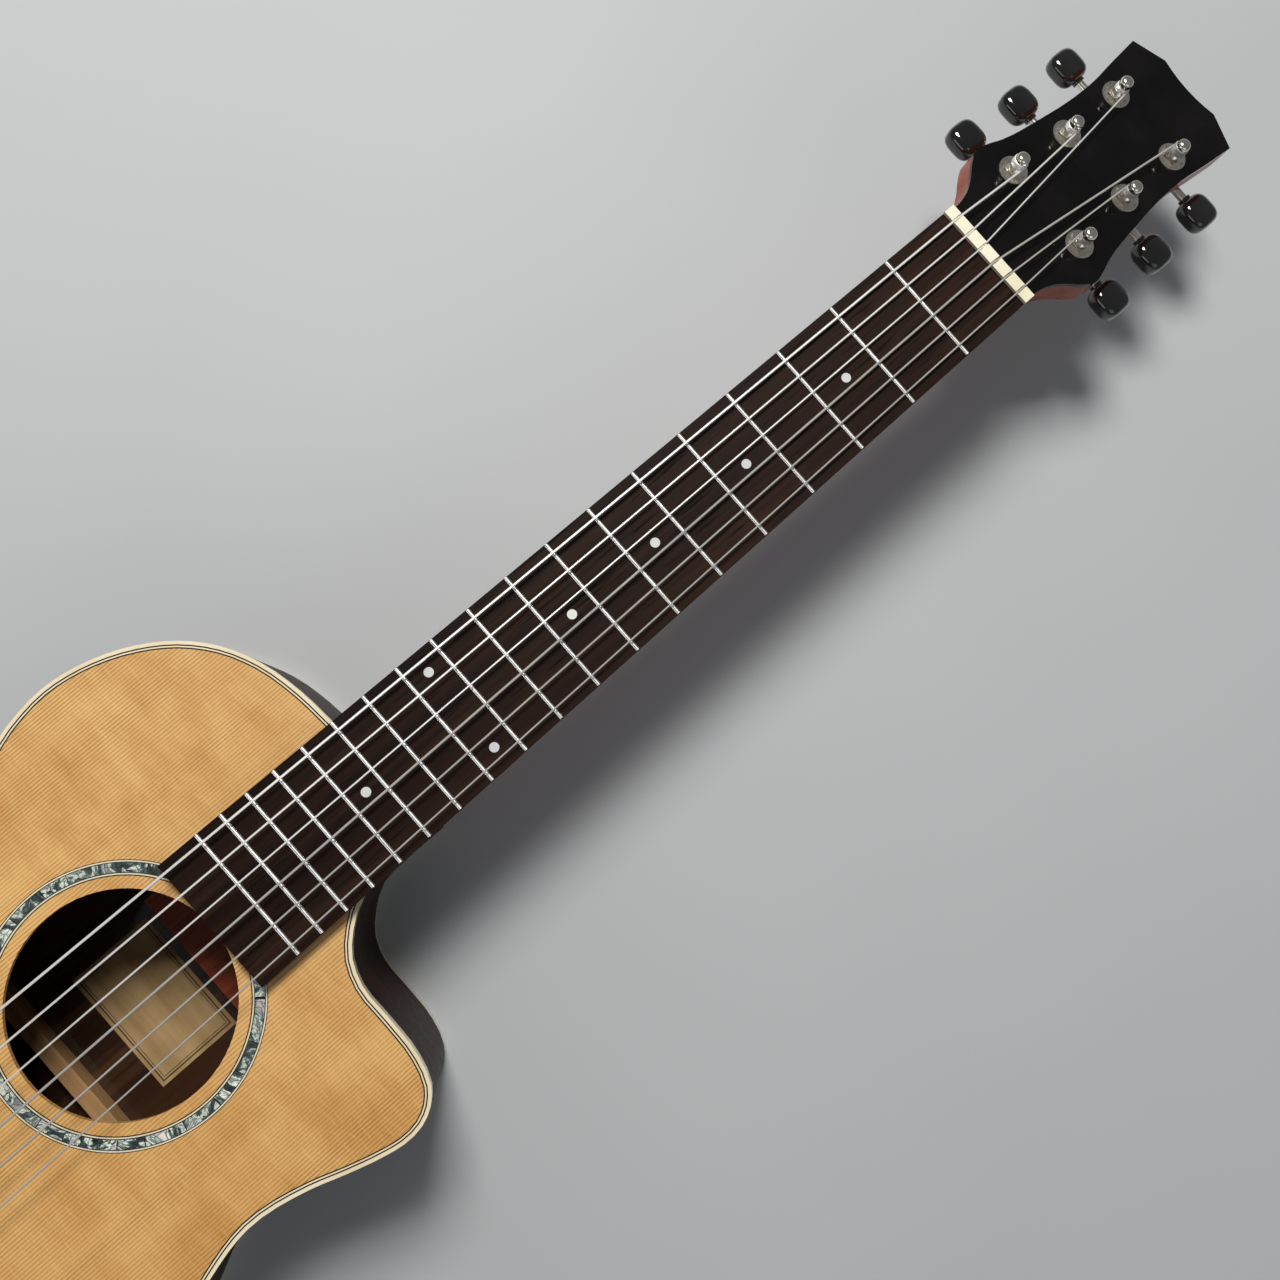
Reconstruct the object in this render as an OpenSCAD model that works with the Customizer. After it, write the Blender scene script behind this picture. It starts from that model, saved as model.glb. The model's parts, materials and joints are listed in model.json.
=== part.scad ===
// Small-bodied six-string cutaway guitar with nylon strings.
// It lies on its flat back: +X is the treble side, +Y points to the head, +Z comes out of the top.
// The origin is on the back, on the centreline, halfway along the body.

/* [Strings] */
// Length of a string from nut to saddle
scale_length = 580; // [576:1:584]
// Distance between neighbouring strings at the nut
nut_string_gap = 7.84; // [7.6:0.02:8]
// Distance between neighbouring strings at the saddle
saddle_string_gap = 11.3; // [11:0.1:11.5]
// Height of the strings above the fingerboard at the nut
nut_string_height = 1.7; // [1.5:0.1:2]
// Height of the strings above the plane of the fingerboard at the saddle
saddle_string_height = 6.1; // [5.8:0.1:6.4]

/* [Body] */
// Length of the body
body_length = 405; // [403:1:407]
// Depth of the body from top to back
body_depth = 82; // [80:1:84]
// Half of the upper bout's width
upper_half = 111; // [109:1:113]
// Half of the waist's width
waist_half = 93.7; // [92:0.1:95]
// Half of the lower bout's width
lower_half = 148; // [146:1:150]
// Thickness of the top and back plates
plate_thickness = 2.5; // [2.4:0.1:2.6]
// Thickness of the ribs
rib_thickness = 2.2; // [2:0.1:2.4]
// Height of the binding
binding_height = 5; // [4:0.5:6]
// Width of the binding seen from above
binding_width = 1.4; // [1.3:0.1:1.5]

/* [Soundhole] */
// Radius of the soundhole
hole_radius = 43; // [42:0.5:43]
// Distance of the soundhole's centre from the origin
hole_y = 76; // [75:0.5:77]

/* [Neck] */
// Half of the fingerboard's width at the nut
board_half_nut = 25; // [24.8:0.1:25.2]
// Half of the fingerboard's width at its end over the soundhole
board_half_end = 30; // [29.5:0.1:30.5]
// Thickness of the fingerboard
board_thickness = 6.5; // [6.3:0.1:6.7]
// Number of frets
fret_count = 19; // [19:1:19]
// Fret at which the neck meets the body
joint_fret = 14; // [14:1:14]
// Depth of the neck's wood behind the nut
neck_depth_nut = 14; // [13.5:0.5:14.5]
// Depth of the neck's wood in front of the heel
neck_depth_heel = 17; // [16.5:0.5:18]

/* [Head] */
// Angle by which the head leans back
head_angle = 11; // [10.5:0.5:11.5]
// Thickness of the head's wood
head_thickness = 12; // [12:0.5:12.5]
// Thickness of the black headplate
headplate_thickness = 2; // [1.8:0.1:2]

/* [Tuners] */
// Distance between the axes of a worm and its wheel
gear_distance = 10; // [10:0.1:10]
// Number of teeth on a wheel
wheel_teeth = 16; // [16:1:16]
// Running clearance of shafts in their bores, on the radius
running_gap = 0.04; // [0.03:0.01:0.06]

/* [Hidden] */
$fn = 48;

half_length = body_length / 2;
joint_y = half_length;
nut_y = joint_y + fret_distance(joint_fret);
board_z = body_depth + board_thickness;
inner_top = body_depth - plate_thickness;
saddle_y = nut_y - scale_length - 1.5;
board_end_y = hole_y + hole_radius + 0.7;
nut_length = 5;
nut_end_y = nut_y + nut_length;

function fret_distance(n) = scale_length * (1 - pow(2, -n / 12));
function board_half(y) =
    board_half_nut + (board_half_end - board_half_nut) * (nut_y - y) / (nut_y - board_end_y);

// ---- Outline of the body ----
// The outline runs from the bass side of the neck, round the tail, to its treble side.
neck_half = board_half(joint_y) - 0.6;
bass_shoulder = [
    [-neck_half, half_length], [-0.42 * upper_half, half_length - 1.6],
    [-0.59 * upper_half, half_length - 6], [-0.72 * upper_half, half_length - 13.2],
    [-0.83 * upper_half, half_length - 24], [-0.91 * upper_half, half_length - 37],
    [-0.97 * upper_half, half_length - 53], [-upper_half, half_length - 74],
    [-0.975 * upper_half, half_length - 93]];
lower_body = [
    [waist_half + 4.6, 84], [waist_half, 58], [waist_half + 4.3, 37], [waist_half + 18, 6],
    [0.895 * lower_half, -33], [0.975 * lower_half, -62], [lower_half, -90],
    [0.965 * lower_half, -122], [0.86 * lower_half, -151], [0.67 * lower_half, -176],
    [0.4 * lower_half, 10 - half_length], [0.2 * lower_half, 2.4 - half_length]];
treble_horn = [
    [waist_half + 9.7, 98], [0.972 * upper_half, 112.5], [0.986 * upper_half, 120],
    [0.981 * upper_half, 129.5], [0.95 * upper_half, 136.5], [0.9 * upper_half, 141.5],
    [0.8 * upper_half, 145], [0.63 * upper_half, 146], [0.49 * upper_half, 146.4],
    [0.4 * upper_half, 150], [0.325 * upper_half, 157.5], [neck_half + 1, 168],
    [neck_half, 180], [neck_half, half_length]];
outline_knots = concat(
    bass_shoulder, [for (p = lower_body) [-p.x, p.y]], [[0, -half_length]],
    [for (i = [len(lower_body) - 1:-1:0]) lower_body[i]], treble_horn);

// A smooth curve through the knots: a cubic on each stretch, with its slope from both neighbours.
function slope(a, b, c) =
    let (u = norm(b - a), v = norm(c - b)) ((b - a) * v / u + (c - b) * u / v) / (u + v);
function knot_slope(k, i) =
    i == 0 ? (k[1] - k[0]) / norm(k[1] - k[0])
    : i == len(k) - 1 ? (k[i] - k[i - 1]) / norm(k[i] - k[i - 1])
    : slope(k[i - 1], k[i], k[i + 1]);
function cubic(a, m, b, n, t) =
    (2 * t ^ 3 - 3 * t ^ 2 + 1) * a + (t ^ 3 - 2 * t ^ 2 + t) * m
    + (3 * t ^ 2 - 2 * t ^ 3) * b + (t ^ 3 - t ^ 2) * n;
outline_step = 7;
outline = concat(
    [for (i = [0:len(outline_knots) - 2])
        let (
            a = outline_knots[i], b = outline_knots[i + 1], size = norm(b - a),
            m = size * knot_slope(outline_knots, i), n = size * knot_slope(outline_knots, i + 1),
            steps = ceil(size / outline_step))
        for (j = [0:steps - 1]) cubic(a, m, b, n, j / steps)],
    [outline_knots[len(outline_knots) - 1]]);

// Each corner of the outline moved inwards by a distance, square to both of its sides
function side_normal(a, b) = [b.y - a.y, a.x - b.x] / norm(b - a);
function inset(points, distance) =
    let (count = len(points))
    [for (i = [0:count - 1])
        let (
            n1 = side_normal(points[(i + count - 1) % count], points[i]),
            n2 = side_normal(points[i], points[(i + 1) % count]))
        points[i] - distance * (n1 + n2) / (1 + n1 * n2)];

module slab(distance, z0, z1) {
    translate([0, 0, z0])
        linear_extrude(z1 - z0)
            polygon(inset(outline, distance));
}

// A wall that follows the outline between two insets
module wall(outer, inner, z0, z1) {
    translate([0, 0, z0])
        linear_extrude(z1 - z0)
            difference() {
                polygon(inset(outline, outer));
                polygon(inset(outline, inner));
            }
}

module block(x, y, z) {
    translate([x[0], y[0], z[0]])
        cube([x[1] - x[0], y[1] - y[0], z[1] - z[0]]);
}

module ring(outer, inner, z0, z1) {
    translate([0, hole_y, z0])
        difference() {
            cylinder(r = outer, h = z1 - z0, $fn = 120);
            translate([0, 0, -1])
                cylinder(r = inner, h = z1 - z0 + 2, $fn = 120);
        }
}

// ---- Body shell ----
purfling_depth = 1.2;
purfling_z = body_depth - purfling_depth;
strip = 0.55;
purfling_edge = [for (i = [0:3]) binding_width + i * strip];
rosette_edge = [47.7, 48.2, 48.6, 49.1, 52.6, 53.0, 53.4, 53.8];

module top_plate() {
    color("burlywood")
        difference() {
            union() {
                slab(binding_width, inner_top, purfling_z);
                slab(purfling_edge[3], purfling_z, body_depth);
            }
            ring(rosette_edge[7], rosette_edge[0], purfling_z, body_depth + 1);
            translate([0, hole_y, inner_top - 1])
                cylinder(r = hole_radius, h = plate_thickness + 2, $fn = 120);
            wire_drop_hole();
        }
}

module back_plate() {
    color([0.15, 0.1, 0.07])
        slab(binding_width, 0, plate_thickness);
}

module rib_ring() {
    wall(0, rib_thickness, binding_height, body_depth - binding_height);
    wall(binding_width, rib_thickness, plate_thickness, binding_height);
    wall(binding_width, rib_thickness, body_depth - binding_height, inner_top);
}

// The preamp's place in the bass rib, and the bore of the jack at the tail
preamp_y = half_length - 76;
preamp_z = 37;
preamp_size = [48, 34];
jack_radius = 6.5;
preamp_span_y = [preamp_y - preamp_size.x / 2, preamp_y + preamp_size.x / 2];
preamp_span_z = [preamp_z - preamp_size.y / 2, preamp_z + preamp_size.y / 2];
function grown(span, extra) = [span[0] - extra, span[1] + extra];
module preamp_cutout() {
    block([-upper_half - 5, 14 - upper_half], grown(preamp_span_y, 0.1),
        grown(preamp_span_z, 0.1));
}
module jack_bore(radius) {
    translate([0, -half_length - 5, body_depth / 2])
        rotate([-90, 0, 0])
            cylinder(r = radius, h = 60);
}

module rib_bass() {
    color([0.13, 0.09, 0.07])
        difference() {
            rib_ring();
            block([0, 300], [-300, 300], [-1, body_depth + 1]);
            preamp_cutout();
            jack_bore(jack_radius);
            truss_bore(rod_radius + 0.1);
        }
}

module rib_treble() {
    color([0.13, 0.09, 0.07])
        difference() {
            rib_ring();
            block([-300, 0], [-300, 300], [-1, body_depth + 1]);
            jack_bore(jack_radius);
            truss_bore(rod_radius + 0.1);
        }
}

lining_width = 5;
lining_height = 12;
block_half = 32;
neck_block_y = 150;
tongue_half = 24;
foot_y = 88;
foot_height = 10;
tail_block_y = 20 - half_length;
module lining(z0, z1) {
    color("tan")
        difference() {
            wall(rib_thickness, rib_thickness + lining_width, z0, z1);
            block([-block_half, block_half], [neck_block_y, 300], [z0 - 1, z1 + 1]);
            block([-block_half, block_half], [-300, tail_block_y], [z0 - 1, z1 + 1]);
        }
}
module top_lining() { lining(inner_top - lining_height, inner_top); }
module back_lining() { lining(plate_thickness, plate_thickness + lining_height); }

module top_binding() {
    color("ivory")
        wall(0, binding_width, body_depth - binding_height, body_depth);
}
module back_binding() {
    color("ivory")
        wall(0, binding_width, 0, binding_height);
}

module purfling_dark() {
    color([0.05, 0.05, 0.05]) {
        wall(purfling_edge[0], purfling_edge[1], purfling_z, body_depth);
        wall(purfling_edge[2], purfling_edge[3], purfling_z, body_depth);
    }
}
module purfling_light() {
    color("ivory")
        wall(purfling_edge[1], purfling_edge[2], purfling_z, body_depth);
}

module rosette_shell() {
    color("lightseagreen")
        ring(rosette_edge[4], rosette_edge[3], purfling_z, body_depth);
}
module rosette_rings() {
    color([0.1, 0.1, 0.1]) {
        ring(rosette_edge[3], rosette_edge[0], purfling_z, body_depth);
        ring(rosette_edge[7], rosette_edge[4], purfling_z, body_depth);
    }
}

// ---- Inside of the body ----
fan_angle = 9;
fan_gap = 15;
fan_size = [5, 145, 6];
bar_height = 15;
bar_width = 9;
bars = [[16, 86], [hole_y + hole_radius + 8, 90]];
module fan_brace(i) {
    translate([i * fan_gap, 8, 0])
        rotate([0, 0, i * fan_angle])
            block([-fan_size.x / 2, fan_size.x / 2], [-fan_size.y, 10],
                [inner_top - fan_size.z, inner_top]);
}
module top_braces() {
    color("wheat") {
        for (i = [-2:2]) fan_brace(i);
        for (b = bars)
            block([-b[1], b[1]], [b[0], b[0] + bar_width], [inner_top - bar_height, inner_top]);
        difference() {
            block([-62, 62], [saddle_y - 20, saddle_y + 8], [inner_top - 1.5, inner_top]);
            wire_drop_hole();
        }
    }
}

back_brace_size = [7, 11];
back_brace_places = [[-140, 118], [-62, 132], [19, 88]];
module back_braces() {
    color("sienna") {
        for (b = back_brace_places)
            block([-b[1], b[1]], grown([b[0], b[0]], back_brace_size.x / 2),
                [plate_thickness, plate_thickness + back_brace_size.y]);
    }
}

module neck_block() {
    color("saddlebrown")
        difference() {
            union() {
                block([-block_half, block_half], [neck_block_y, joint_y - 15],
                    [plate_thickness, inner_top]);
                block([-tongue_half, tongue_half], [neck_block_y, joint_y - rib_thickness],
                    [plate_thickness, inner_top]);
                block([-block_half, block_half], [foot_y, neck_block_y],
                    [plate_thickness, plate_thickness + foot_height]);
            }
            slab_outside();
            truss_bore(5.2);
        }
}
// Everything outside the inner face of the ribs
module slab_outside() {
    difference() {
        block([-300, 300], [-300, 300], [-10, 200]);
        slab(rib_thickness, -11, 201);
    }
}
module tail_block() {
    color("saddlebrown")
        difference() {
            block([-block_half, block_half], [-half_length, tail_block_y],
                [plate_thickness, inner_top]);
            slab_outside();
            jack_bore(jack_radius);
        }
}

label_size = [60, 40];
label_place = [3, 61.5];
module label() {
    color("tan")
        translate([label_place.x, label_place.y, plate_thickness + 0.1])
            cube([label_size.x, label_size.y, 0.2], center = true);
}

// ---- Bridge ----
bridge_length = 150;
block_length = 80;
bridge_height = 8.5;
bridge_front = 8;
saddle_half = 37;
slot_half = 1.5;
slot_depth = 5;
tie_height = 9;
tie_front = -9.5;
tie_back = -20.5;
tie_hole_z = 5.5;
wing_height = 3.5;
string_x = [for (i = [0:5]) (i - 2.5) * saddle_string_gap];

// Corners of a rectangle with round ends, as an outline
function pill(length, width, radius) =
    [for (q = [0:3], a = [0:15:90])
        let (
            sx = q == 0 || q == 3 ? 1 : -1, sy = q < 2 ? 1 : -1)
        [sx * (length / 2 - radius), sy * (width / 2 - radius)]
            + radius * [cos(90 * q + a), sin(90 * q + a)]];
block_profile = [
    [bridge_front, 0], [bridge_front, 5], [5.5, bridge_height], [-4, bridge_height], [-6, 4], [tie_front, 4], [tie_front, tie_height],
    [tie_back + 1.5, tie_height], [tie_back, tie_height - 1.5], [tie_back, 0]];
// Where the pickup's wire goes down through the bridge, the top and the plate under it
wire_drop = [-30, saddle_y];
module wire_drop_hole() {
    translate([wire_drop.x, wire_drop.y, inner_top - 8])
        cylinder(r = 1.1, h = 16, $fn = 16);
}
module bridge() {
    color([0.12, 0.08, 0.06])
        difference() {
            bridge_block();
            wire_drop_hole();
        }
}
module bridge_block() {
    translate([0, saddle_y, body_depth])
        difference() {
            union() {
                translate([0, (bridge_front + tie_back) / 2, 0])
                    linear_extrude(wing_height)
                        polygon(pill(bridge_length, bridge_front - tie_back, 6));
                translate([-block_length / 2, 0, 0])
                    rotate([90, 0, 90])
                        linear_extrude(block_length)
                            polygon(block_profile);
            }
            block([-saddle_half - 0.1, saddle_half + 0.1], [-slot_half, slot_half],
                [bridge_height - slot_depth, 20]);
            for (x = string_x)
                translate([x, tie_front + 1, tie_hole_z])
                    rotate([90, 0, 0])
                        cylinder(r = 0.9, h = 14, $fn = 16);
        }
}

saddle_top = saddle_string_height + board_thickness - 0.55;
pickup_height = 1.4;
module saddle() {
    color("ivory")
        translate([0, saddle_y, body_depth]) {
            block([-saddle_half, saddle_half], [-slot_half, slot_half],
                [bridge_height - slot_depth + pickup_height, saddle_top - slot_half]);
            translate([-saddle_half, 0, saddle_top - slot_half])
                rotate([0, 90, 0])
                    cylinder(r = slot_half, h = 2 * saddle_half, $fn = 24);
        }
}
module saddle_pickup() {
    color("silver")
        translate([0, saddle_y, body_depth + bridge_height - slot_depth])
            block([-saddle_half, saddle_half], [-1.2, 1.2], [0, pickup_height]);
}

// ---- Neck ----
// Each section of the neck: place, half width, drop of its flat top, depth below that
heel_start = joint_y + 62;
heel_depth = body_depth - 3.5;
neck_sections = concat(
    [[nut_end_y + 31, 14, 8, 8], [nut_end_y + 16, 21, 3.4, 11.3],
        [nut_end_y, board_half_nut - 0.1, 0, neck_depth_nut]],
    [for (i = [0:5])
        let (y = nut_y - i * (nut_y - heel_start) / 5)
        [y, board_half(y), 0, neck_depth_nut + i * (neck_depth_heel - neck_depth_nut) / 5]],
    [[joint_y + 48, board_half(joint_y + 48), 0, neck_depth_heel + 2.5],
        [joint_y + 36, neck_half + 0.3, 0, 0.31 * heel_depth],
        [joint_y + 25, neck_half, 0, 0.43 * heel_depth],
        [joint_y + 16, neck_half, 0, 0.6 * heel_depth],
        [joint_y + 8, neck_half, 0, 0.79 * heel_depth],
        [joint_y + 2.5, neck_half, 0, 0.94 * heel_depth],
        [joint_y, neck_half, 0, heel_depth]]);
section_sides = 24;
function section_point(s, i) =
    let (a = 180 * i / section_sides)
    [s[1] * cos(a), s[0], body_depth - s[2] - s[3] * pow(sin(a), 0.85)];
module loft(sections, sides) {
    rows = len(sections);
    ring_size = sides + 1;
    points = [for (s = sections, i = [0:sides]) section_point(s, i)];
    skin = [for (r = [0:rows - 2], i = [0:sides])
        let (
            j = (i + 1) % ring_size, a = r * ring_size + i, b = r * ring_size + j)
        each [[a, b, b + ring_size], [a, b + ring_size, a + ring_size]]];
    first = [for (i = [1:sides - 1]) [0, i + 1, i]];
    base = (rows - 1) * ring_size;
    last = [for (i = [1:sides - 1]) [base, base + i, base + i + 1]];
    polyhedron(points = points, faces = concat(skin, first, last), convexity = 4);
}

// The head's own frame: X across, Y along its face from the nut, Z out of its face
head_start_z = board_z - 3;
module on_head() {
    translate([0, nut_end_y, head_start_z])
        rotate([-head_angle, 0, 0])
            children();
}
head_side = [
    [board_half_nut - 0.6, 0], [board_half_nut - 0.5, 6], [board_half_nut + 1.2, 12.5],
    [board_half_nut + 5, 19], [board_half_nut + 9.6, 24.8], [board_half_nut + 12.7, 31],
    [board_half_nut + 11.8, 36], [board_half_nut + 9.3, 44], [31, 66], [29, 90], [29.2, 103],
    [30.6, 116], [32.3, 134.5]];
head_tip = [[16.2, 140.7], [11, 139.7], [5.5, 139], [0, 138.8]];
head_outline = concat(
    smooth(head_side, 4), head_tip,
    [for (i = [len(head_tip) - 2:-1:0]) [-head_tip[i].x, head_tip[i].y]],
    [for (p = reversed(smooth(head_side, 4))) [-p.x, p.y]]);
function reversed(list) = [for (i = [len(list) - 1:-1:0]) list[i]];
function smooth(k, steps) = concat(
    [for (i = [0:len(k) - 2], j = [0:steps - 1])
        let (size = norm(k[i + 1] - k[i]))
        cubic(k[i], size * knot_slope(k, i), k[i + 1], size * knot_slope(k, i + 1), j / steps)],
    [k[len(k) - 1]]);
// Places of the six posts on the head, from the sixth string to the first
post_places = [
    [-21, 37.4], [-18.6, 71.6], [-18.4, 106.2], [18.4, 106.2], [18.6, 71.6], [21, 37.4]];
bushing_hole_radius = 5;
screw_offset = [0, -11.2];
head_back = -headplate_thickness - head_thickness;

module neck() {
    color([0.35, 0.16, 0.1])
        difference() {
            union() {
                difference() {
                    loft(neck_sections, section_sides);
                    on_head()
                        block([-60, 60], [-2, 60], [-headplate_thickness, 30]);
                }
                difference() {
                    on_head()
                        translate([0, 0, head_back])
                            linear_extrude(head_thickness)
                                polygon(concat([[24, -5]], head_outline, [[-24, -5]]));
                    block([-60, 60], [nut_y - 20, nut_end_y + 0.01], [body_depth, 120]);
                }
            }
            on_head()
                for (p = post_places) {
                    translate([p.x, p.y, -30])
                        cylinder(r = bushing_hole_radius, h = 40);
                    translate([p.x + screw_offset.x, p.y + screw_offset.y, head_back - 1])
                        cylinder(r = 1, h = 9, $fn = 24);
                }
            block([-rod_half, rod_half], [joint_y - 1, rod_end_y], [rod_floor_z, 100]);
        }
}

module headplate() {
    color([0.03, 0.03, 0.03])
        on_head()
            difference() {
                translate([0, 0, -headplate_thickness])
                    linear_extrude(headplate_thickness)
                        polygon(head_outline);
                block([-60, 60], [-5, 0.5], [-10, 10]);
                for (p = post_places)
                    translate([p.x, p.y, -10])
                        cylinder(r = bushing_hole_radius, h = 20);
            }
}

rod_half = 3.2;
rod_radius = 2.9;
rod_floor_z = body_depth - 11.3;
rod_end_y = nut_y - 8;
rod_axis_z = rod_floor_z + 3;
module truss_bore(radius) {
    translate([0, 130, rod_axis_z])
        rotate([-90, 0, 0])
            cylinder(r = radius, h = 90, $fn = 32);
}
module truss_rod() {
    color("silver") {
        translate([0, joint_y - 40, rod_axis_z])
            rotate([-90, 0, 0])
                cylinder(r = rod_radius, h = rod_end_y - joint_y + 30, $fn = 24);
        translate([0, joint_y + 4, rod_axis_z + 4.8])
            rotate([-90, 0, 0])
                cylinder(r = 2, h = rod_end_y - joint_y - 14, $fn = 24);
        block([-3, 3], [rod_end_y - 12, rod_end_y - 0.3], [rod_floor_z, body_depth - 0.1]);
        block([-3, 3], [joint_y + 1, joint_y + 9], [rod_floor_z, body_depth - 0.1]);
        difference() {
            translate([0, joint_y - 50, rod_axis_z])
                rotate([-90, 0, 0])
                    cylinder(r = 4.8, h = 14, $fn = 32);
            translate([0, joint_y - 51, rod_axis_z])
                rotate([-90, 0, 0])
                    cylinder(r = 2.9, h = 8, $fn = 6);
        }
    }
}

// ---- Fingerboard ----
fret_radius = 0.95;
tang = [0.6, 2.2];
double_marker = 12;
marker_frets = [3, 5, 7, 9, 15];
marker_radius = 2;
function fret_y(n) = nut_y - fret_distance(n);
function tang_span(n) = [fret_y(n) - tang.x / 2, fret_y(n) + tang.x / 2];
function marker_y(n) = nut_y - (fret_distance(n) + fret_distance(n - 1)) / 2;
marker_places = concat(
    [for (n = marker_frets) [0, marker_y(n)]],
    [for (side = [-1, 1]) [side * 19.2, marker_y(double_marker)]]);

module markers(radius, z0, z1) {
    for (p = marker_places)
        translate([p.x, p.y, z0])
            cylinder(r = radius, h = z1 - z0, $fn = 32);
}
module fingerboard() {
    color([0.14, 0.09, 0.07])
        difference() {
            translate([0, 0, body_depth])
                linear_extrude(board_thickness)
                    polygon([
                        [-board_half_nut, nut_y], [-board_half_end, board_end_y],
                        [board_half_end, board_end_y], [board_half_nut, nut_y]]);
            for (n = [1:fret_count])
                block([-50, 50], tang_span(n), [board_z - tang.y, board_z + 1]);
            markers(marker_radius, board_z - 1, board_z + 1);
        }
}
module fret(n) {
    half = board_half(fret_y(n)) - 0.3;
    translate([-half, fret_y(n), board_z])
        rotate([0, 90, 0])
            intersection() {
                cylinder(r = fret_radius, h = 2 * half, $fn = 24);
                translate([-5, -5, -1])
                    cube([5, 10, 200]);
            }
    block([-half, half], tang_span(n), [board_z - tang.y, board_z + 0.1]);
}
module frets() {
    color("silver")
        for (n = [1:fret_count]) fret(n);
}
module fret_markers() {
    color("white")
        markers(marker_radius - 0.02, board_z - 1, board_z);
}
nut_top = board_z + 2.1;
module nut() {
    color("ivory")
        difference() {
            block([-board_half_nut, board_half_nut], [nut_y, nut_end_y], [body_depth, nut_top]);
            translate([-50, nut_end_y + 1.2, nut_top + 1.2])
                rotate([45, 0, 0])
                    translate([0, -2, -2.4])
                        cube([100, 4, 2.4]);
            for (i = [0:5])
                string_piece(nut_seat(i) + [0, -10, 0.4], nut_seat(i) + [0, 0, 0.4], 0.75);
            for (i = [0:5])
                string_piece(nut_seat(i) + [0, 0, 0.4], nut_seat(i) + [0, 10, -1.2], 0.75);
        }
}

// ---- Strings ----
// Radius of each string, from the sixth to the first
string_radius = [0.55, 0.45, 0.38, 0.51, 0.41, 0.36];
function nut_seat(i) =
    [(i - 2.5) * nut_string_gap, nut_y + 1.5, board_z + nut_string_height];
function head_point(p) =
    [p.x, nut_end_y + p.y * cos(head_angle) + p.z * sin(head_angle),
        head_start_z - p.y * sin(head_angle) + p.z * cos(head_angle)];
post_waist = 2.4;
string_post_z = 5.6;
function post_side(i) = i < 3 ? 1 : -1;
function post_contact(i) =
    head_point([post_places[i].x + post_side(i) * (post_waist + string_radius[i] + 0.1),
        post_places[i].y, string_post_z]);
function string_route(i) =
    let (x = string_x[i], r = string_radius[i])
    [post_contact(i), nut_seat(i), [x, saddle_y, board_z + saddle_string_height],
        [x, saddle_y + tie_front + 1, body_depth + tie_hole_z],
        [x, saddle_y + tie_back - r - 0.2, body_depth + tie_hole_z],
        [x, saddle_y + tie_back - r - 0.2, body_depth + tie_height + r - 0.6],
        [x + 1.2, saddle_y + tie_back + 1.4, body_depth + tie_height + r + 0.1],
        [x + 1.2, saddle_y + tie_front + r + 0.2, body_depth + tie_height + r + 0.1],
        [x + 1.2, saddle_y + tie_front + r + 0.2, body_depth + 6]];

// A rod from one point to another
module string_piece(a, b, radius) {
    d = b - a;
    translate(a)
        rotate([0, acos(d.z / norm(d)), atan2(d.y, d.x)])
            cylinder(r = radius, h = norm(d), $fn = 16);
}

// A round tube swept along a route, with one ring of corners at each of its points
tube_sides = 10;
function unit(v) = v / norm(v);
function heading(route, k) =
    let (
        last = len(route) - 1,
        before = unit(route[max(k, 1)] - route[max(k, 1) - 1]),
        after = unit(route[min(k, last - 1) + 1] - route[min(k, last - 1)]))
    unit(before + after);
function carried(v, direction) = unit(v - (v * direction) * direction);
function ring_starts(route, k, v) =
    k == len(route) ? []
    : let (w = carried(v, heading(route, k))) concat([w], ring_starts(route, k + 1, w));
module tube(route, radius) {
    starts = ring_starts(route, 0, [0.31, 0.17, 1]);
    points = [for (k = [0:len(route) - 1])
        let (u = starts[k], v = cross(heading(route, k), u))
        for (i = [0:tube_sides - 1])
            route[k] + radius * (cos(360 * i / tube_sides) * u + sin(360 * i / tube_sides) * v)];
    skin = [for (k = [0:len(route) - 2], i = [0:tube_sides - 1])
        let (
            j = (i + 1) % tube_sides, a = k * tube_sides + i, b = k * tube_sides + j)
        each [[a, b + tube_sides, b], [a, a + tube_sides, b + tube_sides]]];
    end = (len(route) - 1) * tube_sides;
    first = [for (i = [1:tube_sides - 2]) [0, i, i + 1]];
    last = [for (i = [1:tube_sides - 2]) [end, end + i + 1, end + i]];
    polyhedron(points = points, faces = concat(skin, first, last), convexity = 8);
}
module wound_strings() {
    color("gainsboro")
        for (i = [0:2]) tube(string_route(i), string_radius[i]);
}
module plain_strings() {
    color("whitesmoke")
        for (i = [3:5]) tube(string_route(i), string_radius[i]);
}

// ---- Tuners ----
axis_z = head_back - 6;
housing_half = 8.7;
housing_y = [-8.8, 15.4];
housing_wall = 1.2;
housing_roof = 1.6;
cover_thickness = 1.2;
tail_pivot_radius = 1.5;
housing_floor = head_back - 11.4;
post_radius = 3;
worm_shaft_radius = 2;
pivot_radius = 1.5;
wheel_radius = 7.4;
wheel_root = 5.9;
wheel_width = 3.2;
worm_core = 2.3;
worm_radius = 3.9;
worm_pitch = 2 * PI * (gear_distance - (worm_core + worm_radius) / 2 - 0.1) / wheel_teeth;
function button_side(i) = i < 3 ? -1 : 1;
button_reach = 26.2;
button_radius = 8;
button_thickness = 10.6;

module at_post(i) {
    on_head()
        translate([post_places[i].x, post_places[i].y, 0])
            children();
}
// The worm's axis, along X, above the wheel's centre towards the tip
module at_worm(i) {
    at_post(i)
        translate([0, gear_distance, axis_z])
            children();
}

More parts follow.
